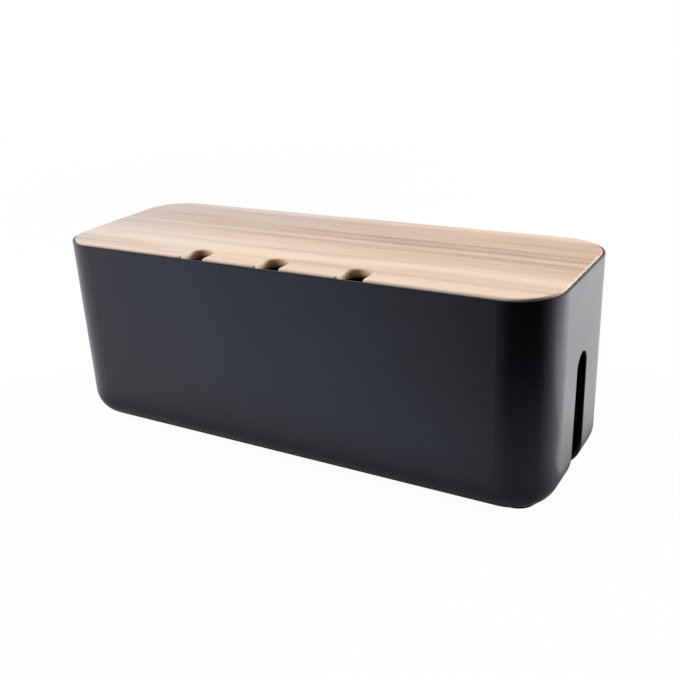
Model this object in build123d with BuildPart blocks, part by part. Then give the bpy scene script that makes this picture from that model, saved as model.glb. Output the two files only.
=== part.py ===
from build123d import *
import os
from math import cos, radians, sin, tan

os.makedirs("parts", exist_ok=True)

# Cable management box: a moulded tub that hides a power strip and its leads, closed by a loose
# wooden lid. Leads leave through a slot at each end of the tub and three notches in the lid.
# Millimetres. X runs along the box, -Y is its front and +Z is up. The origin is on the surface
# that the box stands on, under its middle.

# --- Tub ---
length = 400.0  # over the rim, along X
width = 144.0  # over the rim, along Y
tub_height = 151.0  # from the underside to the rim
corner_radius = 34.0  # upright corners, outside
base_radius = 22.0  # rounding between the walls and the underside, outside
wall = 3.0  # sides
floor = 3.0  # bottom
draft = 0.2  # degrees by which each side leans out towards the rim
rim_wall = 1.5  # upstand round the lid, which the rebate leaves of the wall
rim_round = 0.5  # outer and inner edges of the rim

# --- Lid board ---
lid_thickness = 6.5
lid_proud = 1.2  # how far the board stands above the rim
lid_gap = 0.6  # between the board and the rim, all round
lid_top_round = 1.2
lid_bottom_round = 0.5
ledge_clearance = 0.5  # between the board and the ledge, because the bumpers carry the board

# --- Cable notches in the lid's front edge ---
notch_count = 3
notch_pitch = 65.0
notch_width = 19.0
notch_reach = 23.0  # from the tub's front face to the notch's round end
notch_mouth_round = 2.0

# --- Cable slots in the ends of the tub ---
slot_arch_width = 21.5  # across the arch
slot_crown = 96.2  # top of the arch above the underside
slot_flare = 1.2  # degrees by which each side of the slot opens downwards
slot_floor_run = 5.0  # straight stretch in the flat floor, before the slot's round inner end
slot_edge_round = 0.6

# --- Ribs inside the walls, from the floor to the ledge ---
rib_thickness = 2.0
rib_depth = 4.0
end_rib_from_slot = 12.0  # from the slot's widest point to the rib beside it

# --- Lid bumpers, pushed into posts in the corners ---
bumper_radius = 4.5
bumper_stand = 1.5  # head between the post and the board
bumper_round = 0.5
bumper_from_wall = 0.6  # between the head and the tub's corner
stem_radius = 2.4
stem_length = 8.0
stem_clearance = 0.05
post_lip = 1.4  # how far the post stands out round the head, which joins it to the corner
bore_from_base = 4.0  # from the top of the base rounding to the bottom of the post's bore

# --- Feet, stuck into moulded seats ---
foot_radius = 14.0
foot_stand = 2.0  # what shows under the tub
foot_seat_depth = 0.8
foot_clearance = 0.2
foot_round = 0.6
foot_from_end = 29.0  # foot centre from the tub's end
foot_from_side = 34.0  # foot centre from the tub's front or back
seat_lip = 1.0  # width of the moulded ring round a foot

# --- Derived levels ---
underside_z = foot_stand
floor_z = underside_z + floor
rim_z = underside_z + tub_height
lid_top_z = rim_z + lid_proud
lid_bottom_z = lid_top_z - lid_thickness
ledge_z = lid_bottom_z - ledge_clearance
post_top_z = lid_bottom_z - bumper_stand
bore_bottom_z = underside_z + base_radius + bore_from_base
foot_seat_z = underside_z + foot_seat_depth

# --- Derived outlines ---
cavity_length = length - 2 * wall
cavity_width = width - 2 * wall
cavity_radius = corner_radius - wall
cavity_base_radius = base_radius - wall
rebate_length = length - 2 * rim_wall
rebate_width = width - 2 * rim_wall
rebate_radius = corner_radius - rim_wall
lid_length = rebate_length - 2 * lid_gap
lid_width = rebate_width - 2 * lid_gap
lid_radius = rebate_radius - lid_gap
foot_seat_radius = foot_radius + foot_clearance
post_radius = bumper_radius + post_lip
post_bore_radius = stem_radius + stem_clearance

# --- Derived places ---
corners = [("front_left", -1, -1), ("front_right", 1, -1), ("back_left", -1, 1), ("back_right", 1, 1)]
notch_radius = notch_width / 2
notch_centre_y = -width / 2 + notch_reach - notch_radius
post_from_arc = (cavity_radius - bumper_from_wall - bumper_radius) * cos(radians(45))
post_x = length / 2 - corner_radius + post_from_arc
post_y = width / 2 - corner_radius + post_from_arc
foot_x = length / 2 - foot_from_end
foot_y = width / 2 - foot_from_side

# --- Derived end slot: straight sides that touch the arch and open downwards ---
slot_arch_radius = slot_arch_width / 2
slot_arch_z = underside_z + slot_crown - slot_arch_radius
slot_side_y = slot_arch_radius * cos(radians(slot_flare))
slot_side_z = slot_arch_z + slot_arch_radius * sin(radians(slot_flare))
slot_base_width = 2 * (slot_side_y + slot_side_z * tan(radians(slot_flare)))
slot_inner_x = length / 2 - base_radius - slot_floor_run
slot_seam_length = max(wall, floor) + slot_edge_round
end_rib_y = slot_base_width / 2 + end_rib_from_slot + rib_thickness / 2

# The hollow of the tub, less the ribs and posts that stand in it. It is taken out of the tub.
with BuildPart() as cavity:
    with BuildSketch(Plane.XY.offset(rim_z)):
        RectangleRounded(cavity_length, cavity_width, cavity_radius)
    extrude(amount=floor_z - rim_z, taper=draft)
    fillet(cavity.faces().sort_by(Axis.Z)[0].edges(), radius=cavity_base_radius)

    # Ribs on the long walls stand midway between the notches, and one stands each side of a slot.
    with BuildSketch(Plane.XY.offset(ledge_z)):
        with GridLocations(notch_pitch, cavity_width, notch_count + 1, 2):
            Rectangle(rib_thickness, 2 * rib_depth)
        with GridLocations(cavity_length, 2 * end_rib_y, 2, 2):
            Rectangle(2 * rib_depth, rib_thickness)
    extrude(amount=-ledge_z, mode=Mode.SUBTRACT)

    # A post in each corner carries a bumper.
    with BuildSketch(Plane.XY.offset(post_top_z)):
        with GridLocations(2 * post_x, 2 * post_y, 2, 2):
            Circle(post_radius)
    extrude(amount=-post_top_z, mode=Mode.SUBTRACT)

# What a cable slot takes out of the tub's right-hand end: an arch in the wall that runs down and
# out through the base, and ends round in the floor.
with BuildPart() as end_slot:
    with BuildSketch(Plane.YZ.offset(slot_inner_x)):
        with Locations((0, slot_arch_z)):
            Circle(slot_arch_radius)
        with BuildLine():
            Polyline(
                (-slot_base_width / 2, 0),
                (slot_base_width / 2, 0),
                (slot_side_y, slot_side_z),
                (-slot_side_y, slot_side_z),
                close=True,
            )
        make_face()
    extrude(amount=length / 2)
    with BuildSketch(Plane.XY):
        with Locations((slot_inner_x, 0)):
            Circle(slot_base_width / 2)
    extrude(amount=floor_z + cavity_base_radius, taper=slot_flare)

with BuildPart() as tub:
    with BuildSketch(Plane.XY.offset(rim_z)):
        RectangleRounded(length, width, corner_radius)
    extrude(amount=underside_z - rim_z, taper=draft)
    fillet(tub.faces().sort_by(Axis.Z)[0].edges(), radius=base_radius)

    # A moulded seat brings the rounded underside level under each foot.
    with BuildSketch(Plane.XY.offset(underside_z)):
        with GridLocations(2 * foot_x, 2 * foot_y, 2, 2):
            Circle(foot_seat_radius + seat_lip)
    extrude(amount=floor)

    add(cavity.part, mode=Mode.SUBTRACT)

    with BuildSketch(Plane.XY.offset(underside_z)):
        with GridLocations(2 * foot_x, 2 * foot_y, 2, 2):
            Circle(foot_seat_radius)
    extrude(amount=foot_seat_depth, mode=Mode.SUBTRACT)

    # Rebate for the lid, which leaves a thin rim outside and a ledge inside.
    with BuildSketch(Plane.XY.offset(ledge_z)):
        RectangleRounded(rebate_length, rebate_width, rebate_radius)
    extrude(amount=rim_z - ledge_z, mode=Mode.SUBTRACT)
    fillet(tub.faces().sort_by(Axis.Z)[-1].edges(), radius=rim_round)

    # Bores for the bumper stems, cored from the top.
    with BuildSketch(Plane.XY.offset(post_top_z)):
        with GridLocations(2 * post_x, 2 * post_y, 2, 2):
            Circle(post_bore_radius)
    extrude(amount=bore_bottom_z - post_top_z, mode=Mode.SUBTRACT)

    # The edges round a slot are rounded, but not the seams that cross the wall's thickness.
    for end_angle in (0, 180):
        add(end_slot.part, rotation=(0, 0, end_angle), mode=Mode.SUBTRACT)
        slot_edges = tub.edges(Select.LAST).filter_by_position(
            Axis.Y, -slot_base_width / 2, slot_base_width / 2
        )
        slot_edges = slot_edges.filter_by(lambda edge: edge.length > slot_seam_length)
        fillet(slot_edges, radius=slot_edge_round)

tub.part.label = "tub"
export_step(tub.part, "parts/tub.step")

with BuildPart() as lid:
    with BuildSketch(Plane.XY.offset(lid_bottom_z)) as lid_outline:
        RectangleRounded(lid_length, lid_width, lid_radius)
        with Locations((0, notch_centre_y)):
            with GridLocations(notch_pitch, 0, notch_count, 1):
                Circle(notch_radius, mode=Mode.SUBTRACT)
        with Locations((0, notch_centre_y - notch_reach / 2)):
            with GridLocations(notch_pitch, 0, notch_count, 1):
                Rectangle(notch_width, notch_reach, mode=Mode.SUBTRACT)
        front_corners = lid_outline.vertices().group_by(Axis.Y)[0].sort_by(Axis.X)
        fillet(front_corners[1:-1], radius=notch_mouth_round)
    extrude(amount=lid_thickness)
    fillet(lid.faces().sort_by(Axis.Z)[-1].edges(), radius=lid_top_round)
    fillet(lid.faces().sort_by(Axis.Z)[0].edges(), radius=lid_bottom_round)

lid.part.label = "lid"
export_step(lid.part, "parts/lid.step")

for corner, x_side, y_side in corners:
    with BuildPart() as foot:
        with BuildSketch(Plane.XY):
            with Locations((x_side * foot_x, y_side * foot_y)):
                Circle(foot_radius)
        extrude(amount=foot_seat_z)
        fillet(foot.faces().sort_by(Axis.Z)[0].edges(), radius=foot_round)
    foot.part.label = f"foot_{corner}"
    export_step(foot.part, f"parts/foot_{corner}.step")

for corner, x_side, y_side in corners:
    with BuildPart() as bumper:
        with BuildSketch(Plane.XY.offset(post_top_z)):
            with Locations((x_side * post_x, y_side * post_y)):
                Circle(bumper_radius)
        extrude(amount=bumper_stand)
        fillet(bumper.faces().sort_by(Axis.Z)[-1].edges(), radius=bumper_round)
        with BuildSketch(Plane.XY.offset(post_top_z)):
            with Locations((x_side * post_x, y_side * post_y)):
                Circle(stem_radius)
        extrude(amount=-stem_length)
    bumper.part.label = f"lid_bumper_{corner}"
    export_step(bumper.part, f"parts/lid_bumper_{corner}.step")
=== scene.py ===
"""Cable management box: a satin black tub, a pale wooden lid, four rubber feet and four lid bumpers.

Lengths in the classes are millimetres and become metres where a Blender object is made. X runs along
the box, -Y is its front and +Z is up, as in the frame.
"""

import logging
from collections.abc import Mapping
from dataclasses import dataclass, field
from enum import Enum
from math import cos, pi, radians, sin

import bpy
from mathutils import Matrix, Vector


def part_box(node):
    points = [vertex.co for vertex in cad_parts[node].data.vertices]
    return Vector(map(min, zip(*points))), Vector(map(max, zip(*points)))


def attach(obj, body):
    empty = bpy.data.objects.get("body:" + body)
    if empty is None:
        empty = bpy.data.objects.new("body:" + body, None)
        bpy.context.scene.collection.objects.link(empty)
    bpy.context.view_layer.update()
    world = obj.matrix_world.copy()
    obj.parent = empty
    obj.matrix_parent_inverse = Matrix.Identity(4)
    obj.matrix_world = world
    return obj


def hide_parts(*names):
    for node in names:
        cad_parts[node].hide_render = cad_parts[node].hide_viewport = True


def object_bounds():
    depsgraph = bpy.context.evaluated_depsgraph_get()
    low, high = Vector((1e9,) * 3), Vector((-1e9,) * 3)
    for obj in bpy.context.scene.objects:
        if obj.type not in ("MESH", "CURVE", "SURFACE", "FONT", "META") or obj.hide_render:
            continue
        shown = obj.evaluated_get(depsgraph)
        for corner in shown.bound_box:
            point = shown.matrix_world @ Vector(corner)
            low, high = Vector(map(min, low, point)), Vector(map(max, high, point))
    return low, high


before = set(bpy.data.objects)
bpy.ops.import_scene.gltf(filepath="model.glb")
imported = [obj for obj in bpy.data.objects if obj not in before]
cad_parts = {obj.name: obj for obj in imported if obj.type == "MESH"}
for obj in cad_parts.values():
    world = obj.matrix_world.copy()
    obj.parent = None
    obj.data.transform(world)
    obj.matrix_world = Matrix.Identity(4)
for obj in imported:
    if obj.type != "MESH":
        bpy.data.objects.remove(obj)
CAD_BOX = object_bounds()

LOG = logging.getLogger("cable_box")
METRES_PER_MM = 0.001
NOISE_SPAN = (0.3, 0.7)  # most of what a noise texture gives lies between these
WHITE = "#FFFFFF"


class Body(Enum):
    """The frame's body that the made pieces ride on."""

    TUB = "tub"


class Corner(Enum):
    """The corners that carry a foot and a lid bumper."""

    FRONT_LEFT = "front_left"
    FRONT_RIGHT = "front_right"
    BACK_LEFT = "back_left"
    BACK_RIGHT = "back_right"


# --- Helpers ---


def metres(length: float) -> float:
    """Returns a length in millimetres as metres."""
    return length * METRES_PER_MM


def linear_colour(hex_code: str) -> tuple[float, float, float, float]:
    """Turns an sRGB hex code into the linear colour that a shader socket holds.

    Args:
        hex_code: six hex digits after a hash.

    Returns:
        Red, green, blue and an alpha of 1.
    """
    channels = [int(hex_code[start : start + 2], 16) / 255 for start in (1, 3, 5)]
    red, green, blue = (
        value / 12.92 if value <= 0.04045 else ((value + 0.055) / 1.055) ** 2.4 for value in channels
    )
    return red, green, blue, 1.0


def add_node(
    tree: bpy.types.NodeTree,
    kind: str,
    inputs: Mapping[str, object] | None = None,
    **settings: object,
) -> bpy.types.Node:
    """Adds a node to a tree, with its settings and links.

    Args:
        tree: the tree that gets the node.
        kind: Blender's name for the kind of node.
        inputs: what each input gets, a socket or a value, by the input's identifier or name.
        **settings: the node's own properties.

    Returns:
        The new node.
    """
    node = tree.nodes.new(kind)
    for name, value in settings.items():
        setattr(node, name, value)
    by_identifier = {socket.identifier: socket for socket in node.inputs}
    for name, value in (inputs or {}).items():
        socket = by_identifier.get(name) or node.inputs[name]
        if isinstance(value, bpy.types.NodeSocket):
            tree.links.new(value, socket)
        else:
            socket.default_value = value
    return node


def mixed_colour(node: bpy.types.Node) -> bpy.types.NodeSocket:
    """Returns the colour output of a mix node, whose outputs share one name."""
    return next(socket for socket in node.outputs if socket.identifier == "Result_Color")


def new_material(name: str) -> bpy.types.Material:
    """Makes a material with an empty node tree.

    Args:
        name: the material's name.

    Returns:
        The material.
    """
    material = bpy.data.materials.new(name)
    material.use_nodes = True
    material.node_tree.nodes.clear()
    return material


def dress(piece: bpy.types.Object, material: bpy.types.Material) -> None:
    """Puts one material into every slot of a piece, and makes a slot if it has none.

    Args:
        piece: the piece.
        material: its finish.
    """
    if not piece.material_slots:
        piece.data.materials.append(material)
    for material_slot in piece.material_slots:
        material_slot.material = material


def add_object(name: str, data: bpy.types.ID) -> bpy.types.Object:
    """Makes an object from its data and links it to the scene.

    Args:
        name: the object's name.
        data: its mesh, lamp or camera.

    Returns:
        The object.
    """
    made = bpy.data.objects.new(name, data)
    bpy.context.scene.collection.objects.link(made)
    return made


# --- Finishes ---


@dataclass(frozen=True)
class MouldedAbs:
    """Black ABS, injection moulded in a spark-eroded tool.

    The tool leaves a fine even grain, so the surface is satin: dark where it faces the eye, and pale
    where light glances off it. The rim is duller as painted shade, which darkens it into the line
    of the shadow gap round the lid.
    """

    colour: str = "#08080B"
    specular_tint: str = "#DBE4FF"
    ior: float = 1.58
    roughness: float = 0.27
    roughness_spread: float = 0.03
    grain_size: float = 1.2  # real grain is 0.2 mm, too fine to show
    grain_height: float = 0.03
    grain_strength: float = 0.5
    flow_size: float = 60.0  # broad patches that the melt leaves as it fills the tool
    gloss: float = 0.5
    # the duller rim is painted shade, standing in for the shadow gap round the lid
    rim_shade_gloss: float = 0.35
    rim_shade_depth: tuple[float, float] = (0.6, 1.3)  # where the rim's gloss turns into the plain one

    def make(self, top: float) -> bpy.types.Material:
        """Makes the material.

        Args:
            top: height of the rim, in metres.

        Returns:
            The material.
        """
        material = new_material("black_abs_moulded_satin")
        tree = material.node_tree
        place = add_node(tree, "ShaderNodeTexCoord").outputs["Object"]
        grain = add_node(
            tree,
            "ShaderNodeTexNoise",
            {"Vector": place, "Scale": 1 / metres(self.grain_size), "Detail": 2.0, "Roughness": 0.6},
        )
        flow = add_node(
            tree,
            "ShaderNodeTexNoise",
            {"Vector": place, "Scale": 1 / metres(self.flow_size), "Detail": 3.0, "Roughness": 0.5},
        )
        roughness = add_node(
            tree,
            "ShaderNodeMapRange",
            {
                "Value": flow.outputs["Fac"],
                "From Min": NOISE_SPAN[0],
                "From Max": NOISE_SPAN[1],
                "To Min": self.roughness - self.roughness_spread,
                "To Max": self.roughness + self.roughness_spread,
            },
        )
        bump = add_node(
            tree,
            "ShaderNodeBump",
            {
                "Height": grain.outputs["Fac"],
                "Strength": self.grain_strength,
                "Distance": metres(self.grain_height),
            },
        )
        # painted shade: the rim's top is duller, so it reads as the dark shadow gap round the lid
        gloss = add_node(
            tree,
            "ShaderNodeMapRange",
            {
                "Value": add_node(tree, "ShaderNodeSeparateXYZ", {"Vector": place}).outputs["Z"],
                "From Min": top - metres(self.rim_shade_depth[1]),
                "From Max": top - metres(self.rim_shade_depth[0]),
                "To Min": self.gloss,
                "To Max": self.rim_shade_gloss,
            },
        )
        shader = add_node(
            tree,
            "ShaderNodeBsdfPrincipled",
            {
                "Base Color": linear_colour(self.colour),
                "Roughness": roughness.outputs["Result"],
                "IOR": self.ior,
                "Specular IOR Level": gloss.outputs["Result"],
                "Specular Tint": linear_colour(self.specular_tint),
                "Normal": bump.outputs["Normal"],
            },
        )
        add_node(tree, "ShaderNodeOutputMaterial", {"Surface": shader.outputs["BSDF"]})
        return material


@dataclass(frozen=True)
class Streak:
    """A darker or paler streak that runs along the grain, mostly in the board's figure; pale streaks
    along the front edge are a painted highlight.
    """

    middle: float  # Y of its middle line
    width: float  # from that line to either side
    start: float  # X of its left end
    end: float  # X of its right end
    strength: float  # above 0 is darker, below 0 is paler
    slope: float = 0.0  # how far it climbs in Y for each step in X


@dataclass(frozen=True)
class GrainPattern:
    """A pattern of noise in the wood, drawn out along the grain, and what it adds."""

    width: float  # size across the grain
    length: float  # size along the grain
    detail: float  # octaves of finer noise
    span: tuple[float, float]  # the part of the noise that counts
    effect: tuple[float, float]  # what the two ends of that part give


@dataclass(frozen=True)
class LacqueredWalnut:
    """Pale walnut, sawn along the grain, sanded and sealed with a thin matt lacquer.

    The grain runs straight along the board. Sapwood at the front is cream, heartwood at the back is
    a pinkish tan, and darker and paler streaks run through both; the two pale streaks along the
    front edge are a painted highlight. A lean from grey at the left and back to gold at the right
    and front is partly a tint and partly painted light. The cut edges carry painted light: pale at
    the top, where light catches the arris, and darker towards the underside as painted shade, less
    so where they face along the board. The lacquer adds a soft sheen.
    """

    tones: tuple[tuple[float, str], ...] = (  # from sapwood to the darkest heartwood
        (0.0, "#F9F0EB"),
        (0.19, "#F5E9E3"),
        (0.47, "#E6D6CE"),
        (0.70, "#D9C6BD"),
        (0.88, "#C8AFA5"),
        (1.0, "#BA9E94"),
    )
    front_tone: float = 0.36
    back_tone: float = 0.68
    heart: tuple[float, float] = (-30.0, 14.0)  # Y where the sapwood ends and the heartwood starts
    ash_and_shade: str = "#E6E6E6"  # the left and the back lean to grey, and are darker as painted shade
    honey_and_light: str = "#FFEDD8"  # the right and the front lean to gold, and are paler as painted light
    honey_light_way: tuple[float, float, float] = (1.0, -1.6, 0.0)  # the way from ash to honey
    honey_light_span: tuple[float, float] = (-85.0, 285.0)  # where on that way the colour turns
    # painted light on the cut edges: pale at the top, where light catches the arris, then darker
    # downwards as painted shade
    cut_shade_tones: tuple[tuple[float, str], ...] = (  # cut edges, by share of the board's thickness
        (0.12, "#EDDDCB"),
        (0.32, "#F3D2AA"),
        (0.46, "#EABF92"),
        (0.92, "#8A6142"),
    )
    end_light_tones: tuple[tuple[float, str], ...] = (  # the same where the edge faces along the board, paler as painted light from the right
        (0.12, "#EDDDCB"),
        (0.45, "#F0D9BC"),
        (0.92, "#D9B890"),
    )
    cut_facing: tuple[float, float] = (0.3, 0.8)  # Z of the normal, on a cut edge and on a face
    # painted light: edges that face along X get the paler tones, as if lit from the right
    end_light_facing: tuple[float, float] = (0.8, 0.96)  # X of the normal, on long grain and on end grain
    ior: float = 1.5
    roughness: float = 0.42
    fibre_height: float = 0.02
    fibre_strength: float = 0.35
    noise_roughness: float = 0.55  # how much the finer octaves count
    drift: tuple[float, float] = (8.0, 4.0)  # how far the grain lines wander, in Y and in Z
    drift_length: float = 150.0
    figure: GrainPattern = GrainPattern(
        width=14.0, length=420.0, detail=2.0, span=(0.35, 0.65), effect=(-0.05, 0.05)
    )
    growth_rings: GrainPattern = GrainPattern(
        width=2.4, length=120.0, detail=3.0, span=NOISE_SPAN, effect=(-0.14, 0.14)
    )
    fibres: GrainPattern = GrainPattern(  # real fibres are 0.03 mm wide, too fine to show
        width=1.1, length=30.0, detail=3.0, span=NOISE_SPAN, effect=(-0.07, 0.07)
    )
    pores: GrainPattern = GrainPattern(  # real pores are 0.2 mm wide, too fine to show
        width=0.7, length=9.0, detail=0.0, span=(0.66, 0.74), effect=(0.0, 0.12)
    )
    patches: GrainPattern = GrainPattern(  # a step on the way from ash to honey
        width=26.0, length=78.0, detail=1.0, span=(0.0, 1.0), effect=(0.0, 400.0)
    )
    streak_power: GrainPattern = GrainPattern(  # where the streaks are weaker or stronger
        width=7.0, length=110.0, detail=2.0, span=NOISE_SPAN, effect=(0.55, 1.45)
    )
    streak_fade: float = 0.5  # share of a streak's half length that has its full strength
    streaks: tuple[Streak, ...] = (
        Streak(middle=68.0, width=13.0, start=-900.0, end=900.0, strength=-0.34),
        Streak(middle=55.5, width=5.0, start=-190.0, end=60.0, strength=0.06),
        Streak(middle=54.0, width=7.0, start=20.0, end=420.0, strength=-0.06),
        Streak(middle=44.0, width=8.0, start=30.0, end=420.0, strength=0.07),
        Streak(middle=44.0, width=18.0, start=-420.0, end=-120.0, strength=-0.08),
        Streak(middle=49.0, width=9.0, start=-400.0, end=-10.0, strength=-0.10),
        Streak(middle=38.0, width=13.0, start=20.0, end=420.0, strength=0.08),
        Streak(middle=34.0, width=8.0, start=-200.0, end=-20.0, strength=0.07),
        Streak(middle=24.0, width=11.0, start=-140.0, end=20.0, strength=0.11),
        Streak(middle=3.0, width=9.0, start=-170.0, end=40.0, strength=-0.08),
        Streak(middle=24.0, width=6.0, start=-80.0, end=440.0, strength=0.27, slope=-0.012),
        Streak(middle=16.0, width=6.0, start=-90.0, end=440.0, strength=0.25),
        Streak(middle=10.5, width=5.0, start=-520.0, end=110.0, strength=-0.20, slope=-0.012),
        Streak(middle=8.0, width=4.0, start=-110.0, end=420.0, strength=-0.11, slope=-0.01),
        Streak(middle=1.5, width=7.0, start=-190.0, end=470.0, strength=0.25, slope=-0.008),
        Streak(middle=-8.0, width=8.0, start=-330.0, end=20.0, strength=-0.06),
        Streak(middle=-12.0, width=14.0, start=0.0, end=420.0, strength=0.20),
        Streak(middle=-19.0, width=9.0, start=-360.0, end=60.0, strength=-0.13),
        Streak(middle=-26.0, width=5.0, start=-60.0, end=140.0, strength=0.22, slope=0.045),
        Streak(middle=-20.0, width=5.0, start=110.0, end=400.0, strength=0.12),
        Streak(middle=-33.0, width=8.0, start=10.0, end=400.0, strength=-0.34),
        Streak(middle=-31.0, width=9.0, start=100.0, end=500.0, strength=-0.10),
        Streak(middle=-37.0, width=7.0, start=-60.0, end=70.0, strength=-0.08),
        Streak(middle=-37.5, width=10.0, start=-360.0, end=110.0, strength=-0.33),
        Streak(middle=-45.0, width=7.0, start=-140.0, end=30.0, strength=-0.24),
        Streak(middle=-43.5, width=7.0, start=20.0, end=400.0, strength=0.11),
        Streak(middle=-48.0, width=4.0, start=-8.0, end=66.0, strength=0.26),
        Streak(middle=-51.5, width=6.0, start=-70.0, end=400.0, strength=0.22),
        Streak(middle=-55.0, width=15.0, start=-420.0, end=-60.0, strength=0.20),
        Streak(middle=-57.0, width=7.0, start=-120.0, end=10.0, strength=-0.22),
        # The two pale streaks along the front edge are a painted highlight, where light catches the
        # edge.
        Streak(middle=-63.0, width=14.0, start=-40.0, end=600.0, strength=-0.34),
        Streak(middle=-69.0, width=6.0, start=-600.0, end=0.0, strength=-0.25),
    )

    def make(self, bottom: float, top: float) -> bpy.types.Material:
        """Makes the material.

        Args:
            bottom: height of the board's underside, in metres.
            top: height of its top, in metres.

        Returns:
            The material.
        """
        material = new_material("pale_walnut_lacquered_matt")
        tree = material.node_tree
        place = add_node(tree, "ShaderNodeTexCoord").outputs["Object"]
        grain_place = self._grain_place(tree, place)
        face = self._colour(tree, grain_place, self._tone(tree, grain_place))
        cut = self._cut_colour(tree, place, bottom, top)
        bump = add_node(
            tree,
            "ShaderNodeBump",
            {
                "Height": self._noise(tree, grain_place, self.fibres),
                "Strength": self.fibre_strength,
                "Distance": metres(self.fibre_height),
            },
        )
        shader = add_node(
            tree,
            "ShaderNodeBsdfPrincipled",
            {
                "Base Color": self._by_facing(tree, "Z", self.cut_facing, (cut, face)),
                "Roughness": self.roughness,
                "IOR": self.ior,
                "Normal": bump.outputs["Normal"],
            },
        )
        add_node(tree, "ShaderNodeOutputMaterial", {"Surface": shader.outputs["BSDF"]})
        return material

    def _grain_place(
        self, tree: bpy.types.NodeTree, place: bpy.types.NodeSocket
    ) -> bpy.types.NodeSocket:
        """Bends the coordinates, so that the grain lines wander instead of running dead straight.

        Args:
            tree: the material's tree.
            place: object coordinates, in metres.

        Returns:
            The bent coordinates, in millimetres.
        """
        in_mm = add_node(
            tree,
            "ShaderNodeVectorMath",
            {"Vector": place, "Scale": 1 / METRES_PER_MM},
            operation="SCALE",
        )
        drift = add_node(
            tree,
            "ShaderNodeTexNoise",
            {"Vector": place, "Scale": 1 / metres(self.drift_length), "Detail": 1.0},
        )
        centred = add_node(
            tree,
            "ShaderNodeVectorMath",
            {"Vector": drift.outputs["Color"], "Vector_001": (0.5, 0.5, 0.5)},
            operation="SUBTRACT",
        )
        sideways = add_node(
            tree,
            "ShaderNodeVectorMath",
            {"Vector": centred.outputs["Vector"], "Vector_001": (0.0, *self.drift)},
            operation="MULTIPLY",
        )
        bent = add_node(
            tree,
            "ShaderNodeVectorMath",
            {"Vector": in_mm.outputs["Vector"], "Vector_001": sideways.outputs["Vector"]},
            operation="ADD",
        )
        return bent.outputs["Vector"]

    def _noise(
        self,
        tree: bpy.types.NodeTree,
        grain_place: bpy.types.NodeSocket,
        pattern: GrainPattern,
    ) -> bpy.types.NodeSocket:
        """Makes a pattern's noise, drawn out along the grain.

        Args:
            tree: the material's tree.
            grain_place: the bent coordinates, in millimetres.
            pattern: the pattern.

        Returns:
            The noise, from 0 to 1.
        """
        stretched = add_node(
            tree,
            "ShaderNodeVectorMath",
            {
                "Vector": grain_place,
                "Vector_001": (1 / pattern.length, 1 / pattern.width, 1 / pattern.width),
            },
            operation="MULTIPLY",
        )
        noise = add_node(
            tree,
            "ShaderNodeTexNoise",
            {
                "Vector": stretched.outputs["Vector"],
                "Scale": 1.0,
                "Detail": pattern.detail,
                "Roughness": self.noise_roughness,
            },
        )
        return noise.outputs["Fac"]

    def _effect(
        self,
        tree: bpy.types.NodeTree,
        grain_place: bpy.types.NodeSocket,
        pattern: GrainPattern,
    ) -> bpy.types.NodeSocket:
        """Turns a pattern's noise into what it adds.

        Args:
            tree: the material's tree.
            grain_place: the bent coordinates, in millimetres.
            pattern: the pattern.

        Returns:
            The effect, between the two that the pattern gives.
        """
        effect = add_node(
            tree,
            "ShaderNodeMapRange",
            {
                "Value": self._noise(tree, grain_place, pattern),
                "From Min": pattern.span[0],
                "From Max": pattern.span[1],
                "To Min": pattern.effect[0],
                "To Max": pattern.effect[1],
            },
        )
        return effect.outputs["Result"]

    def _swell(
        self,
        tree: bpy.types.NodeTree,
        coordinate: bpy.types.NodeSocket,
        middle: float,
        reach: tuple[float, float],
        height: float,
    ) -> bpy.types.NodeSocket:
        """Makes a value that swells softly round one place.

        Args:
            tree: the material's tree.
            coordinate: the coordinate along which it changes, in millimetres.
            middle: where the swell is.
            reach: how far from its middle it starts to fall, and how far it ends.
            height: how high it is.

        Returns:
            The value, from the height at the middle to 0.
        """
        offset = add_node(
            tree, "ShaderNodeMath", {"Value": coordinate, "Value_001": middle}, operation="SUBTRACT"
        )
        distance = add_node(
            tree, "ShaderNodeMath", {"Value": offset.outputs["Value"]}, operation="ABSOLUTE"
        )
        swell = add_node(
            tree,
            "ShaderNodeMapRange",
            {
                "Value": distance.outputs["Value"],
                "From Min": reach[0],
                "From Max": reach[1],
                "To Min": height,
                "To Max": 0.0,
            },
            interpolation_type="SMOOTHSTEP",
        )
        return swell.outputs["Result"]

    def _streaks(
        self, tree: bpy.types.NodeTree, grain_place: bpy.types.NodeSocket
    ) -> bpy.types.NodeSocket:
        """Adds up the streaks at each point of the board.

        Args:
            tree: the material's tree.
            grain_place: the bent coordinates, in millimetres.

        Returns:
            How much darker, above 0, or paler, below 0, the wood is there.
        """
        at = add_node(tree, "ShaderNodeSeparateXYZ", {"Vector": grain_place}).outputs
        total: bpy.types.NodeSocket | float = 0.0
        for streak in self.streaks:
            middle_x = (streak.start + streak.end) / 2
            half = (streak.end - streak.start) / 2
            straightened = add_node(
                tree,
                "ShaderNodeMath",
                {"Value": at["X"], "Value_001": -streak.slope, "Value_002": at["Y"]},
                operation="MULTIPLY_ADD",
            ).outputs["Value"]
            middle_y = streak.middle - streak.slope * middle_x
            across = self._swell(tree, straightened, middle_y, (0.0, streak.width), streak.strength)
            along = self._swell(tree, at["X"], middle_x, (half * self.streak_fade, half), 1.0)
            total = add_node(
                tree,
                "ShaderNodeMath",
                {"Value": across, "Value_001": along, "Value_002": total},
                operation="MULTIPLY_ADD",
            ).outputs["Value"]
        power = self._effect(tree, grain_place, self.streak_power)
        return add_node(
            tree, "ShaderNodeMath", {"Value": total, "Value_001": power}, operation="MULTIPLY"
        ).outputs["Value"]

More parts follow.
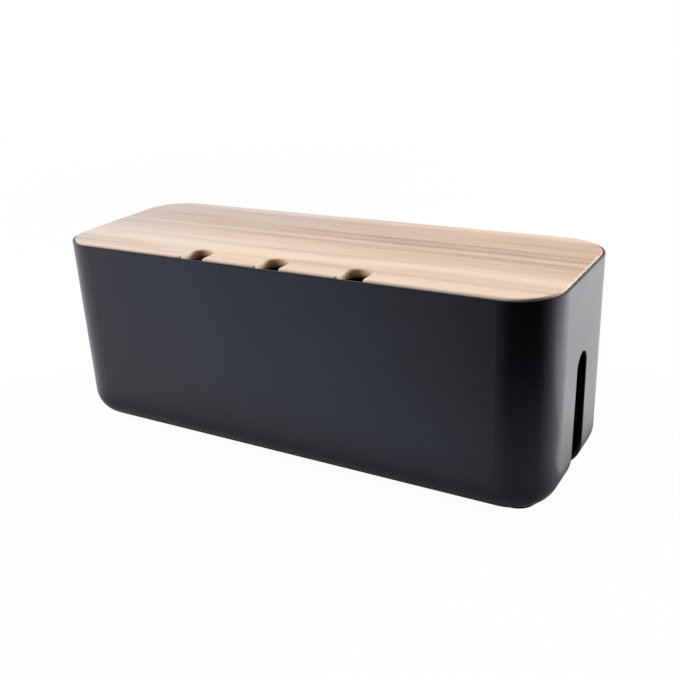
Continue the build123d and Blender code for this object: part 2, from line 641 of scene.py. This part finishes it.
    def _tone(
        self, tree: bpy.types.NodeTree, grain_place: bpy.types.NodeSocket
    ) -> bpy.types.NodeSocket:
        """Adds up the wood's tone from the heartwood, the streaks and the patterns in the grain.

        Args:
            tree: the material's tree.
            grain_place: the bent coordinates, in millimetres.

        Returns:
            The tone, from 0 for the palest sapwood to 1 for the darkest heartwood.
        """
        tone = add_node(
            tree,
            "ShaderNodeMapRange",
            {
                "Value": add_node(tree, "ShaderNodeSeparateXYZ", {"Vector": grain_place}).outputs["Y"],
                "From Min": self.heart[0],
                "From Max": self.heart[1],
                "To Min": self.front_tone,
                "To Max": self.back_tone,
            },
            interpolation_type="SMOOTHSTEP",
        ).outputs["Result"]
        added = [self._streaks(tree, grain_place)] + [
            self._effect(tree, grain_place, pattern)
            for pattern in (self.figure, self.growth_rings, self.fibres, self.pores)
        ]
        for darker in added:
            tone = add_node(
                tree, "ShaderNodeMath", {"Value": tone, "Value_001": darker}, operation="ADD"
            ).outputs["Value"]
        return tone

    def _colour(
        self,
        tree: bpy.types.NodeTree,
        grain_place: bpy.types.NodeSocket,
        tone: bpy.types.NodeSocket,
    ) -> bpy.types.NodeSocket:
        """Turns the tone into the colour of the board's faces, leaning from ash to honey, partly as a
        tint and partly as painted light that pales the right and the front.

        Args:
            tree: the material's tree.
            grain_place: the bent coordinates, in millimetres.
            tone: from 0 for the palest sapwood to 1 for the darkest heartwood.

        Returns:
            The colour.
        """
        on_way = add_node(
            tree,
            "ShaderNodeVectorMath",
            {"Vector": grain_place, "Vector_001": self.honey_light_way},
            operation="DOT_PRODUCT",
        )
        with_patches = add_node(
            tree,
            "ShaderNodeMath",
            {
                "Value": self._effect(tree, grain_place, self.patches),
                "Value_001": on_way.outputs["Value"],
            },
            operation="ADD",
        )
        turned = add_node(
            tree,
            "ShaderNodeMapRange",
            {
                "Value": with_patches.outputs["Value"],
                "From Min": self.honey_light_span[0],
                "From Max": self.honey_light_span[1],
            },
        )
        # partly painted light: paler to the right and the front, darker to the left and the back
        lean_and_light = add_node(
            tree,
            "ShaderNodeMix",
            {
                "Factor_Float": turned.outputs["Result"],
                "A_Color": linear_colour(self.ash_and_shade),
                "B_Color": linear_colour(self.honey_and_light),
            },
            data_type="RGBA",
        )
        leaned_and_lit = add_node(
            tree,
            "ShaderNodeMix",
            {
                "Factor_Float": 1.0,
                "A_Color": self._blend_tones(tree, tone, self.tones),
                "B_Color": mixed_colour(lean_and_light),
            },
            data_type="RGBA",
            blend_type="MULTIPLY",
        )
        return mixed_colour(leaned_and_lit)

    def _blend_tones(
        self,
        tree: bpy.types.NodeTree,
        share: bpy.types.NodeSocket,
        tones: tuple[tuple[float, str], ...],
    ) -> bpy.types.NodeSocket:
        """Turns a share into a colour, blended from tones.

        Args:
            tree: the material's tree.
            share: from 0 to 1.
            tones: the shares at which a colour is given, in order, with their hex codes.

        Returns:
            The colour.
        """
        ramp = add_node(tree, "ShaderNodeValToRGB", {"Fac": share})
        stops = ramp.color_ramp.elements
        for index, (position, hex_code) in enumerate(tones):
            stop = stops[index] if index < 2 else stops.new(position)  # a new ramp has two stops
            stop.position = position
            stop.color = linear_colour(hex_code)
        return ramp.outputs["Color"]

    def _cut_colour(
        self,
        tree: bpy.types.NodeTree,
        place: bpy.types.NodeSocket,
        bottom: float,
        top: float,
    ) -> bpy.types.NodeSocket:
        """Makes the colour of the cut edges, which show the core, with a painted highlight at the top
        and painted shade that darkens towards the underside, lighter where they face along X as painted
        light from the right.

        Args:
            tree: the material's tree.
            place: object coordinates, in metres.
            bottom: height of the board's underside, in metres.
            top: height of its top, in metres.

        Returns:
            The colour.
        """
        height = add_node(tree, "ShaderNodeSeparateXYZ", {"Vector": place}).outputs["Z"]
        depth = add_node(
            tree, "ShaderNodeMapRange", {"Value": height, "From Min": top, "From Max": bottom}
        ).outputs["Result"]
        # painted shade: the edge darkens with depth below the top
        long_grain_shade = self._blend_tones(tree, depth, self.cut_shade_tones)
        # painted light: paler where the edge faces along X, as if lit from the right
        end_grain_light = self._blend_tones(tree, depth, self.end_light_tones)
        return self._by_facing(tree, "X", self.end_light_facing, (long_grain_shade, end_grain_light))

    def _by_facing(
        self,
        tree: bpy.types.NodeTree,
        axis: str,
        span: tuple[float, float],
        colours: tuple[bpy.types.NodeSocket, bpy.types.NodeSocket],
    ) -> bpy.types.NodeSocket:
        """Blends two colours by how squarely the surface faces along an axis, either way.

        Args:
            tree: the material's tree.
            axis: X, Y or Z.
            span: the normal's length along the axis where the blend starts and ends.
            colours: the colour before the blend and after it.

        Returns:
            The colour.
        """
        normal = add_node(tree, "ShaderNodeNewGeometry").outputs["Normal"]
        facing = add_node(tree, "ShaderNodeSeparateXYZ", {"Vector": normal}).outputs[axis]
        squarely = add_node(tree, "ShaderNodeMath", {"Value": facing}, operation="ABSOLUTE")
        share = add_node(
            tree,
            "ShaderNodeMapRange",
            {"Value": squarely.outputs["Value"], "From Min": span[0], "From Max": span[1]},
        )
        blend = add_node(
            tree,
            "ShaderNodeMix",
            {"Factor_Float": share.outputs["Result"], "A_Color": colours[0], "B_Color": colours[1]},
            data_type="RGBA",
        )
        return mixed_colour(blend)


@dataclass(frozen=True)
class MouldedRubber:
    """Soft black rubber, compression moulded: matt, with a faint bloom. By default it is darker, with
    dulled gloss, partly as painted shade for the feet's contact shadow under the tub.
    """

    name: str = "black_rubber_moulded_matt"
    # black rubber, darkened further as painted shade for the contact shadow under the tub
    colour: str = "#0A0A0B"
    bloom: str = "#121213"
    specular_tint: str = "#8C8C8C"  # dulled gloss, as painted shade for the contact shadow under the tub
    ior: float = 1.52
    roughness: float = 0.75
    grain_size: float = 1.2  # real grain is 0.1 mm, too fine to show
    grain_height: float = 0.02
    grain_strength: float = 0.4

    def make(self) -> bpy.types.Material:
        """Makes the material.

        Returns:
            The material.
        """
        material = new_material(self.name)
        tree = material.node_tree
        place = add_node(tree, "ShaderNodeTexCoord").outputs["Object"]
        grain = add_node(
            tree,
            "ShaderNodeTexNoise",
            {"Vector": place, "Scale": 1 / metres(self.grain_size), "Detail": 3.0},
        )
        colour = add_node(
            tree,
            "ShaderNodeMix",
            {
                "Factor_Float": grain.outputs["Fac"],
                "A_Color": linear_colour(self.colour),
                "B_Color": linear_colour(self.bloom),
            },
            data_type="RGBA",
        )
        bump = add_node(
            tree,
            "ShaderNodeBump",
            {
                "Height": grain.outputs["Fac"],
                "Strength": self.grain_strength,
                "Distance": metres(self.grain_height),
            },
        )
        shader = add_node(
            tree,
            "ShaderNodeBsdfPrincipled",
            {
                "Base Color": mixed_colour(colour),
                "Roughness": self.roughness,
                "IOR": self.ior,
                "Specular Tint": linear_colour(self.specular_tint),
                "Normal": bump.outputs["Normal"],
            },
        )
        add_node(tree, "ShaderNodeOutputMaterial", {"Surface": shader.outputs["BSDF"]})
        return material


# --- The object ---


@dataclass
class Tub:
    """The moulded tub."""

    finish: MouldedAbs = field(default_factory=MouldedAbs)

    def build(self) -> list[str]:
        """Dresses the tub.

        Returns:
            The names of its pieces.
        """
        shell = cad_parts["tub"]
        top = Vector(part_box("tub")[1]).z
        dress(shell, self.finish.make(top))
        return [shell.name]


@dataclass
class Lid:
    """The wooden lid board."""

    finish: LacqueredWalnut = field(default_factory=LacqueredWalnut)

    def build(self) -> list[str]:
        """Dresses the board.

        Returns:
            The names of its pieces.
        """
        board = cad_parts["lid"]
        low, high = (Vector(corner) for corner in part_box("lid"))
        dress(board, self.finish.make(low.z, high.z))
        return [board.name]


@dataclass
class Feet:
    """The four rubber feet, each a turned disc with grip rings moulded round its underside."""

    edge_round: float = 0.6  # underside edge
    edge_steps: int = 6  # facets round that edge
    ring_count: int = 5
    first_ring: float = 3.3  # radius of the innermost ring, at the middle of its width
    ring_pitch: float = 2.5
    ring_width: float = 1.3
    ring_round: float = 0.2
    ring_steps: int = 3  # facets round each edge of a ring
    groove_depth: float = 0.4
    segments: int = 96
    finish: MouldedRubber = field(default_factory=MouldedRubber)

    def build(self) -> list[str]:
        """Makes the feet in place of the plain discs.

        Returns:
            The names of their pieces.
        """
        rubber = self.finish.make()
        rings = self._ring_tree()
        names = []
        for corner in Corner:
            node = f"foot_{corner.value}"
            disc = self._disc(node)
            foot = self._with_rings(disc, rings, rubber, f"grip_{node}")
            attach(foot, Body.TUB.value)
            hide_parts(node)
            names.append(foot.name)
        return names

    def _disc(self, node: str) -> bpy.types.Object:
        """Turns the foot's disc where the plain foot stands, without its rings.

        Args:
            node: name of the plain foot.

        Returns:
            The disc, whose underside is as high as the grooves are deep.
        """
        low, high = (Vector(corner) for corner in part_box(node))
        middle = (low + high) / 2
        radius = (high.x - low.x) / 2
        groove_z = low.z + metres(self.groove_depth)
        edge = metres(self.edge_round)
        turns = [radians(90 * step / self.edge_steps) for step in range(self.edge_steps + 1)]
        outline = [(radius, high.z)] + [
            (radius - edge + edge * cos(turn), groove_z + edge - edge * sin(turn)) for turn in turns
        ]
        around = [2 * pi * i / self.segments for i in range(self.segments)]
        verts = [
            (middle.x + r * cos(angle), middle.y + r * sin(angle), z)
            for r, z in outline
            for angle in around
        ]
        faces: list[tuple[int, ...]] = []
        for row in range(len(outline) - 1):
            for i in range(self.segments):
                after = (i + 1) % self.segments
                upper, lower = row * self.segments, (row + 1) * self.segments
                faces.append((upper + i, lower + i, lower + after, upper + after))
        last = (len(outline) - 1) * self.segments
        faces.append(tuple(range(self.segments)))
        faces.append(tuple(last + i for i in reversed(range(self.segments))))
        mesh = bpy.data.meshes.new(f"disc_{node}")
        mesh.from_pydata(verts, [], faces)
        return add_object(f"disc_{node}", mesh)

    def _ring_tree(self) -> bpy.types.NodeTree:
        """Makes the node tree that moulds concentric rings under a disc.

        Returns:
            The tree. Its inputs are the disc, the rings' centre and sizes, and the finish.
        """
        tree = bpy.data.node_groups.new("grip_rings", "GeometryNodeTree")
        for name, kind in (
            ("Geometry", "NodeSocketGeometry"),
            ("Centre", "NodeSocketVector"),
            ("Ring Count", "NodeSocketInt"),
            ("First Ring", "NodeSocketFloat"),
            ("Ring Pitch", "NodeSocketFloat"),
            ("Ring Width", "NodeSocketFloat"),
            ("Ring Height", "NodeSocketFloat"),
            ("Ring Round", "NodeSocketFloat"),
            ("Segments", "NodeSocketInt"),
            ("Finish", "NodeSocketMaterial"),
        ):
            tree.interface.new_socket(name, in_out="INPUT", socket_type=kind)
        tree.interface.new_socket("Geometry", in_out="OUTPUT", socket_type="NodeSocketGeometry")
        given = add_node(tree, "NodeGroupInput").outputs
        radius = add_node(
            tree,
            "ShaderNodeMath",
            {
                "Value": add_node(tree, "GeometryNodeInputIndex").outputs["Index"],
                "Value_001": given["Ring Pitch"],
                "Value_002": given["First Ring"],
            },
            operation="MULTIPLY_ADD",
        ).outputs["Value"]
        centres = add_node(
            tree, "GeometryNodeMeshLine", {"Count": given["Ring Count"], "Offset": (0.0, 0.0, 0.0)}
        )
        circle = add_node(
            tree,
            "GeometryNodeCurvePrimitiveCircle",
            {"Resolution": given["Segments"], "Radius": 1.0},
        )
        size = add_node(tree, "ShaderNodeCombineXYZ", {"X": radius, "Y": radius, "Z": 1.0})
        circles = add_node(
            tree,
            "GeometryNodeInstanceOnPoints",
            {
                "Points": centres.outputs["Mesh"],
                "Instance": circle.outputs["Curve"],
                "Scale": size.outputs["Vector"],
            },
        )
        paths = add_node(
            tree, "GeometryNodeRealizeInstances", {"Geometry": circles.outputs["Instances"]}
        )
        section = add_node(
            tree,
            "GeometryNodeCurvePrimitiveQuadrilateral",
            {"Width": given["Ring Width"], "Height": given["Ring Height"]},
        )
        rounded = add_node(
            tree,
            "GeometryNodeFilletCurve",
            {
                "Curve": section.outputs["Curve"],
                "Radius": given["Ring Round"],
                "Count": self.ring_steps,
            },
        )
        rings = add_node(
            tree,
            "GeometryNodeCurveToMesh",
            {"Curve": paths.outputs["Geometry"], "Profile Curve": rounded.outputs["Curve"]},
        )
        placed = add_node(
            tree,
            "GeometryNodeTransform",
            {"Geometry": rings.outputs["Mesh"], "Translation": given["Centre"]},
        )
        joined = add_node(tree, "GeometryNodeJoinGeometry", {"Geometry": given["Geometry"]})
        tree.links.new(placed.outputs["Geometry"], joined.inputs["Geometry"])
        real = add_node(tree, "GeometryNodeRealizeInstances", {"Geometry": joined.outputs["Geometry"]})
        finished = add_node(
            tree,
            "GeometryNodeSetMaterial",
            {"Geometry": real.outputs["Geometry"], "Material": given["Finish"]},
        )
        add_node(tree, "NodeGroupOutput", {"Geometry": finished.outputs["Geometry"]})
        return tree

    def _with_rings(
        self,
        disc: bpy.types.Object,
        rings: bpy.types.NodeTree,
        rubber: bpy.types.Material,
        name: str,
    ) -> bpy.types.Object:
        """Adds the rings to a disc and makes the result a plain mesh.

        Args:
            disc: the turned disc.
            rings: the tree that makes the rings.
            rubber: the finish.
            name: name of the finished foot.

        Returns:
            The foot.
        """
        places = [vertex.co for vertex in disc.data.vertices]
        middle = sum(places, Vector()) / len(places)
        underside = min(place.z for place in places)
        ring_height = 2 * self.groove_depth  # the upper half is inside the disc
        values = {
            "Centre": Vector((middle.x, middle.y, underside)),
            "Ring Count": self.ring_count,
            "First Ring": metres(self.first_ring),
            "Ring Pitch": metres(self.ring_pitch),
            "Ring Width": metres(self.ring_width),
            "Ring Height": metres(ring_height),
            "Ring Round": metres(self.ring_round),
            "Segments": self.segments,
            "Finish": rubber,
        }
        modifier = disc.modifiers.new("grip_rings", "NODES")
        modifier.node_group = rings
        for socket in rings.interface.items_tree:
            if socket.in_out == "INPUT" and socket.name in values:
                modifier[socket.identifier] = values[socket.name]
        evaluated = disc.evaluated_get(bpy.context.evaluated_depsgraph_get())
        mesh = bpy.data.meshes.new_from_object(evaluated)
        mesh.name = name
        disc.modifiers.remove(modifier)
        disc.data = mesh
        disc.name = name
        return disc


@dataclass
class LidBumpers:
    """The four silicone bumpers that the lid rests on."""

    finish: MouldedRubber = field(
        default_factory=lambda: MouldedRubber(
            name="dark_silicone_moulded_soft_sheen",
            colour="#242426",
            bloom="#303033",
            specular_tint="#FFFFFF",
            roughness=0.45,
        )
    )

    def build(self) -> list[str]:
        """Dresses the bumpers.

        Returns:
            The names of their pieces.
        """
        silicone = self.finish.make()
        names = []
        for corner in Corner:
            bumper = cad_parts[f"lid_bumper_{corner.value}"]
            dress(bumper, silicone)
            names.append(bumper.name)
        return names


# --- The studio ---


@dataclass
class Camera:
    """A camera that looks at the box from the front right and above."""

    azimuth: float = 32.212  # degrees from -Y towards +X
    elevation: float = 22.334
    roll: float = -3.392
    distance: float = 712.19
    target_x: float = -6.981
    target_z: float = 65.59
    focal_length: float = 48.124
    sensor: float = 36.0
    frame_pixels: float = 680.0
    centre_column: float = 316.386  # where the lens axis meets the frame
    centre_row: float = 349.506
    clip_start: float = 10.0

    def build(self) -> None:
        """Makes the camera and sets it as the scene's."""
        angles = (self.azimuth, self.elevation, self.roll)
        azimuth, elevation, roll = (radians(angle) for angle in angles)
        back = Vector((sin(azimuth) * cos(elevation), -cos(azimuth) * cos(elevation), sin(elevation)))
        level = Vector((cos(azimuth), sin(azimuth), 0.0))
        upright = back.cross(level)
        across = cos(roll) * level + sin(roll) * upright
        up = cos(roll) * upright - sin(roll) * level
        target = Vector((metres(self.target_x), 0.0, metres(self.target_z)))
        lens = bpy.data.cameras.new("camera")
        lens.sensor_width = self.sensor
        lens.lens = self.focal_length
        lens.shift_x = 0.5 - self.centre_column / self.frame_pixels
        lens.shift_y = self.centre_row / self.frame_pixels - 0.5
        lens.clip_start = metres(self.clip_start)
        camera = add_object("camera", lens)
        turn = Matrix((across, up, back)).transposed().to_4x4()
        camera.matrix_world = Matrix.Translation(target + metres(self.distance) * back) @ turn
        bpy.context.scene.camera = camera


@dataclass
class Softbox:
    """A rectangular lamp that faces a point."""

    name: str
    place: tuple[float, float, float]
    aim: tuple[float, float, float]
    width: float
    height: float
    radiance: float  # 1 is white paper in full light
    polarised: bool = False  # a polarised lamp lights the object, but its glare is filtered out

    def build(self) -> bpy.types.Object:
        """Makes the lamp.

        Returns:
            The lamp.
        """
        lamp = bpy.data.lights.new(self.name, "AREA")
        lamp.shape = "RECTANGLE"
        lamp.size = metres(self.width)
        lamp.size_y = metres(self.height)
        lamp.energy = self.radiance * pi * lamp.size * lamp.size_y
        made = add_object(self.name, lamp)
        place = Vector(self.place) * METRES_PER_MM
        aim = Vector(self.aim) * METRES_PER_MM
        turn = (aim - place).to_track_quat("-Z", "Y").to_matrix().to_4x4()
        made.matrix_world = Matrix.Translation(place) @ turn
        made.visible_camera = False
        made.visible_glossy = not self.polarised
        return made


@dataclass
class Studio:
    """A pale floor, a white surround, a black cloth on the camera's side, which is painted shade that
    only gloss sees, and soft lamps.
    """

    floor_size: float = 30000.0
    floor_colour: str = "#F2F2F2"
    floor_drop: float = 0.05  # keeps the floor's face off the feet's faces
    shadow_left: float = 0.03  # share of the object's shadow that the floor shows to the eye
    fade: tuple[float, float] = (600.0, 1800.0)  # where the floor turns into the white surround
    inset: float = 20.0  # the distances below start this far inside the box's footprint
    gloss_fade: tuple[float, float] = (10.0, 200.0)  # where the next share changes
    gloss_plain: tuple[float, float] = (0.5, 0.9)  # share of plain tone in the floor that gloss shows
    gloss_shade: tuple[float, float] = (5.0, 90.0)  # where that tone turns from black to white: painted shade near the box, for its contact shadow in reflections
    fill: tuple[float, float] = (0.08, 0.03)  # all round, and in the gap
    fill_gap: tuple[float, float, float] = (0.62, -0.70, 0.35)  # the gap is on the camera's side
    fill_span: tuple[float, float] = (0.15, 0.8)  # cosine of the angle to the gap's middle
    # the cloth is painted shade: only gloss sees it, in place of the dark camera side of the room
    cloth_colour: str = "#191919"
    cloth_centre: tuple[float, float] = (183.0, -55.0)
    cloth_left: tuple[float, float] = (-155.0, -80.0)  # degrees from +X where the cloth fades in
    cloth_right: tuple[float, float] = (35.0, -15.0)
    cloth_radius: float = 1200.0
    cloth_near: float = 270.0  # how far from its centre the cloth turns full black
    cloth_start: float = 0.45  # how black it is at its centre
    cloth_lift: float = 0.5  # keeps it clear of the floor
    cloth_height: float = 600.0  # of the part that hangs
    cloth_steps: int = 24
    lamps: tuple[Softbox, ...] = (
        Softbox(
            name="top_softbox",
            place=(-100.0, 200.0, 1500.0),
            aim=(0.0, 0.0, 100.0),
            width=1600.0,
            height=1600.0,
            radiance=0.4,
        ),
        # Three lie side by side on the floor, and the right-hand end reflects them.
        Softbox(
            name="far_floor_softbox",
            place=(425.0, 305.0, 2.0),
            aim=(425.0, 305.0, 100.0),
            width=210.0,
            height=510.0,
            radiance=0.88,
        ),
        Softbox(
            name="middle_floor_softbox",
            place=(287.5, 305.0, 2.0),
            aim=(287.5, 305.0, 100.0),
            width=65.0,
            height=510.0,
            radiance=0.44,
        ),
        Softbox(
            name="near_floor_softbox",
            place=(232.5, 280.0, 2.0),
            aim=(232.5, 280.0, 100.0),
            width=45.0,
            height=560.0,
            radiance=0.69,
        ),
        Softbox(
            name="left_softbox",
            place=(-1370.0, -820.0, 1300.0),
            aim=(50.0, 0.0, 150.0),
            width=900.0,
            height=900.0,
            radiance=12.8,
            polarised=True,
        ),
        Softbox(
            name="low_right_softbox",
            place=(1310.0, 1500.0, 570.0),
            aim=(50.0, 0.0, 150.0),
            width=1200.0,
            height=700.0,
            radiance=24.0,
            polarised=True,
        ),
    )

    def build(self) -> list[str]:
        """Makes the floor, the surround, the black cloth of painted shade and the lamps.

        Returns:
            The names of the floor, the cloth and the lamps.
        """
        floor = self._floor()
        cloth = self._shade_cloth()
        self._surround()
        return [floor.name, cloth.name] + [lamp.build().name for lamp in self.lamps]

    def _floor(self) -> bpy.types.Object:
        """Makes the floor: white to the eye and in part to gloss, with the object's shadow on it.

        Returns:
            The floor.
        """
        half = metres(self.floor_size) / 2
        level = -metres(self.floor_drop)
        corners = [(x * half, y * half, level) for x, y in ((-1, -1), (1, -1), (1, 1), (-1, 1))]
        mesh = bpy.data.meshes.new("studio_floor")
        mesh.from_pydata(corners, [], [(0, 1, 2, 3)])
        floor = add_object("studio_floor", mesh)
        dress(floor, self._paper())
        return floor

    def _paper(self) -> bpy.types.Material:
        """Makes the floor's paper, which mixes lit paper with a plain tone. To gloss, that tone is
        black
        near the box: painted shade.

        Returns:
            The material.
        """
        material = new_material("white_paper_floor")
        tree = material.node_tree
        place = add_node(tree, "ShaderNodeTexCoord").outputs["Object"]
        one_side = add_node(tree, "ShaderNodeVectorMath", {"Vector": place}, operation="ABSOLUTE")
        inset = metres(self.inset)
        footprint = Vector((CAD_BOX[1][0] - inset, CAD_BOX[1][1] - inset, 0.0))
        outside = add_node(
            tree,
            "ShaderNodeVectorMath",
            {"Vector": one_side.outputs["Vector"], "Vector_001": footprint},
            operation="SUBTRACT",
        )
        from_box = add_node(
            tree,
            "ShaderNodeVectorMath",
            {"Vector": outside.outputs["Vector"], "Vector_001": (0.0, 0.0, 0.0)},
            operation="MAXIMUM",
        ).outputs["Vector"]
        path = add_node(tree, "ShaderNodeLightPath").outputs
        # painted shade: gloss sees the plain tone black near the box, as its contact shadow
        tone = add_node(
            tree,
            "ShaderNodeMath",
            {
                "Value": path["Is Camera Ray"],
                "Value_001": self._fade(tree, from_box, self.gloss_shade, (0.0, 1.0)),
            },
            operation="MAXIMUM",
        )
        plain = add_node(
            tree,
            "ShaderNodeEmission",
            {"Color": linear_colour(WHITE), "Strength": tone.outputs["Value"]},
        )
        share_to_eye = add_node(
            tree,
            "ShaderNodeMath",
            {
                "Value": path["Is Camera Ray"],
                "Value_001": self._fade(tree, place, self.fade, (1 - self.shadow_left, 1.0)),
            },
            operation="MULTIPLY",
        )
        share = add_node(
            tree,
            "ShaderNodeMath",
            {
                "Value": path["Is Glossy Ray"],
                "Value_001": self._fade(tree, from_box, self.gloss_fade, self.gloss_plain),
                "Value_002": share_to_eye.outputs["Value"],
            },
            operation="MULTIPLY_ADD",
        )
        paper = add_node(tree, "ShaderNodeBsdfDiffuse", {"Color": linear_colour(self.floor_colour)})
        mixed = add_node(
            tree,
            "ShaderNodeMixShader",
            {
                "Fac": share.outputs["Value"],
                "Shader": paper.outputs["BSDF"],
                "Shader_001": plain.outputs["Emission"],
            },
        )
        add_node(tree, "ShaderNodeOutputMaterial", {"Surface": mixed.outputs["Shader"]})
        return material

    def _fade(
        self,
        tree: bpy.types.NodeTree,
        offset: bpy.types.NodeSocket,
        between: tuple[float, float],
        shares: tuple[float, float],
    ) -> bpy.types.NodeSocket:
        """Lets a share change smoothly with distance.

        Args:
            tree: the material's tree.
            offset: the way from where the distance is measured, in metres.
            between: the distances where the change starts and ends, in millimetres.
            shares: the share before and after it.

        Returns:
            The share.
        """
        distance = add_node(tree, "ShaderNodeVectorMath", {"Vector": offset}, operation="LENGTH")
        fade = add_node(
            tree,
            "ShaderNodeMapRange",
            {
                "Value": distance.outputs["Value"],
                "From Min": metres(between[0]),
                "From Max": metres(between[1]),
                "To Min": shares[0],
                "To Max": shares[1],
            },
            interpolation_type="SMOOTHSTEP",
        )
        return fade.outputs["Result"]

    def _shade_cloth(self) -> bpy.types.Object:
        """Makes the black cloth on the camera's side, which lies flat and hangs beyond: painted shade
        that only gloss sees, in place of the dark side of the room.

        Returns:
            The cloth. Only gloss shows it.
        """
        first, last = self.cloth_left[0], self.cloth_right[0]
        centre_x, centre_y = self.cloth_centre
        verts = [(metres(centre_x), metres(centre_y), metres(self.cloth_lift))]
        for step in range(self.cloth_steps + 1):
            angle = radians(first + (last - first) * step / self.cloth_steps)
            x = metres(centre_x + self.cloth_radius * cos(angle))
            y = metres(centre_y + self.cloth_radius * sin(angle))
            verts += [(x, y, metres(self.cloth_lift)), (x, y, metres(self.cloth_height))]
        lying = [(0, 2 * i + 1, 2 * i + 3) for i in range(self.cloth_steps)]
        hanging = [(2 * i + 1, 2 * i + 2, 2 * i + 4, 2 * i + 3) for i in range(self.cloth_steps)]
        mesh = bpy.data.meshes.new("studio_shade_cloth")
        mesh.from_pydata(verts, [], lying + hanging)
        cloth = add_object("studio_shade_cloth", mesh)
        cloth.visible_camera = False
        cloth.visible_diffuse = False
        cloth.visible_shadow = False
        dress(cloth, self._shade_gauze())
        return cloth

    def _shade_gauze(self) -> bpy.types.Material:
        """Makes the cloth's gauze, which fades in from its edges, so that its reflection has none. Its
        black is painted shade in reflections.

        Returns:
            The material.
        """
        material = new_material("painted_shade_gauze")
        tree = material.node_tree
        centre_x, centre_y = self.cloth_centre
        from_centre = add_node(
            tree,
            "ShaderNodeVectorMath",
            {
                "Vector": add_node(tree, "ShaderNodeTexCoord").outputs["Object"],
                "Vector_001": (metres(centre_x), metres(centre_y), 0.0),
            },
            operation="SUBTRACT",
        ).outputs["Vector"]
        parts = add_node(tree, "ShaderNodeSeparateXYZ", {"Vector": from_centre})
        angle = add_node(
            tree,
            "ShaderNodeMath",
            {"Value": parts.outputs["Y"], "Value_001": parts.outputs["X"]},
            operation="ARCTAN2",
        )
        reach = add_node(tree, "ShaderNodeVectorMath", {"Vector": from_centre}, operation="LENGTH")
        black = add_node(
            tree,
            "ShaderNodeMapRange",
            {
                "Value": reach.outputs["Value"],
                "From Max": metres(self.cloth_near),
                "To Min": self.cloth_start,
                "To Max": 1.0,
            },
        ).outputs["Result"]
        for outer, inner in (self.cloth_left, self.cloth_right):
            side = add_node(
                tree,
                "ShaderNodeMapRange",
                {
                    "Value": angle.outputs["Value"],
                    "From Min": radians(outer),
                    "From Max": radians(inner),
                },
                interpolation_type="SMOOTHSTEP",
            )
            black = add_node(
                tree,
                "ShaderNodeMath",
                {"Value": black, "Value_001": side.outputs["Result"]},
                operation="MULTIPLY",
            ).outputs["Value"]
        sheer = add_node(tree, "ShaderNodeBsdfTransparent")
        dyed = add_node(tree, "ShaderNodeBsdfDiffuse", {"Color": linear_colour(self.cloth_colour)})
        mixed = add_node(
            tree,
            "ShaderNodeMixShader",
            {"Fac": black, "Shader": sheer.outputs["BSDF"], "Shader_001": dyed.outputs["BSDF"]},
        )
        add_node(tree, "ShaderNodeOutputMaterial", {"Surface": mixed.outputs["Shader"]})
        return material

    def _surround(self) -> None:
        """Makes the world: white to the eye, to gloss and through glass, and a soft fill elsewhere."""
        world = bpy.data.worlds.new("studio_surround")
        bpy.context.scene.world = world
        world.use_nodes = True
        tree = world.node_tree
        tree.nodes.clear()
        towards = add_node(
            tree,
            "ShaderNodeVectorMath",
            {
                "Vector": add_node(tree, "ShaderNodeTexCoord").outputs["Generated"],
                "Vector_001": Vector(self.fill_gap).normalized(),
            },
            operation="DOT_PRODUCT",
        )
        fill = add_node(
            tree,
            "ShaderNodeMapRange",
            {
                "Value": towards.outputs["Value"],
                "From Min": self.fill_span[0],
                "From Max": self.fill_span[1],
                "To Min": self.fill[0],
                "To Max": self.fill[1],
            },
            interpolation_type="SMOOTHSTEP",
        )
        path = add_node(tree, "ShaderNodeLightPath")
        seen: bpy.types.NodeSocket | float = 0.0
        for kind in ("Is Camera Ray", "Is Glossy Ray", "Is Transmission Ray"):
            seen = add_node(
                tree,
                "ShaderNodeMath",
                {"Value": path.outputs[kind], "Value_001": seen},
                operation="MAXIMUM",
            ).outputs["Value"]
        strength = add_node(
            tree, "ShaderNodeMapRange", {"Value": seen, "To Min": fill.outputs["Result"], "To Max": 1.0}
        )
        background = add_node(
            tree,
            "ShaderNodeBackground",
            {"Color": linear_colour(WHITE), "Strength": strength.outputs["Result"]},
        )
        add_node(tree, "ShaderNodeOutputWorld", {"Surface": background.outputs["Background"]})


def main() -> None:
    """Builds the box and the studio, and reports each piece."""
    logging.basicConfig(level=logging.INFO, format="%(name)s: %(message)s")
    for assembly in (Tub(), Lid(), Feet(), LidBumpers()):
        for name in assembly.build():
            LOG.info("%s: %s", type(assembly).__name__, name)
    for name in Studio().build():
        LOG.info("studio: %s", name)
    Camera().build()
    bpy.context.scene.view_settings.view_transform = "Standard"


if __name__ == "__main__":
    main()
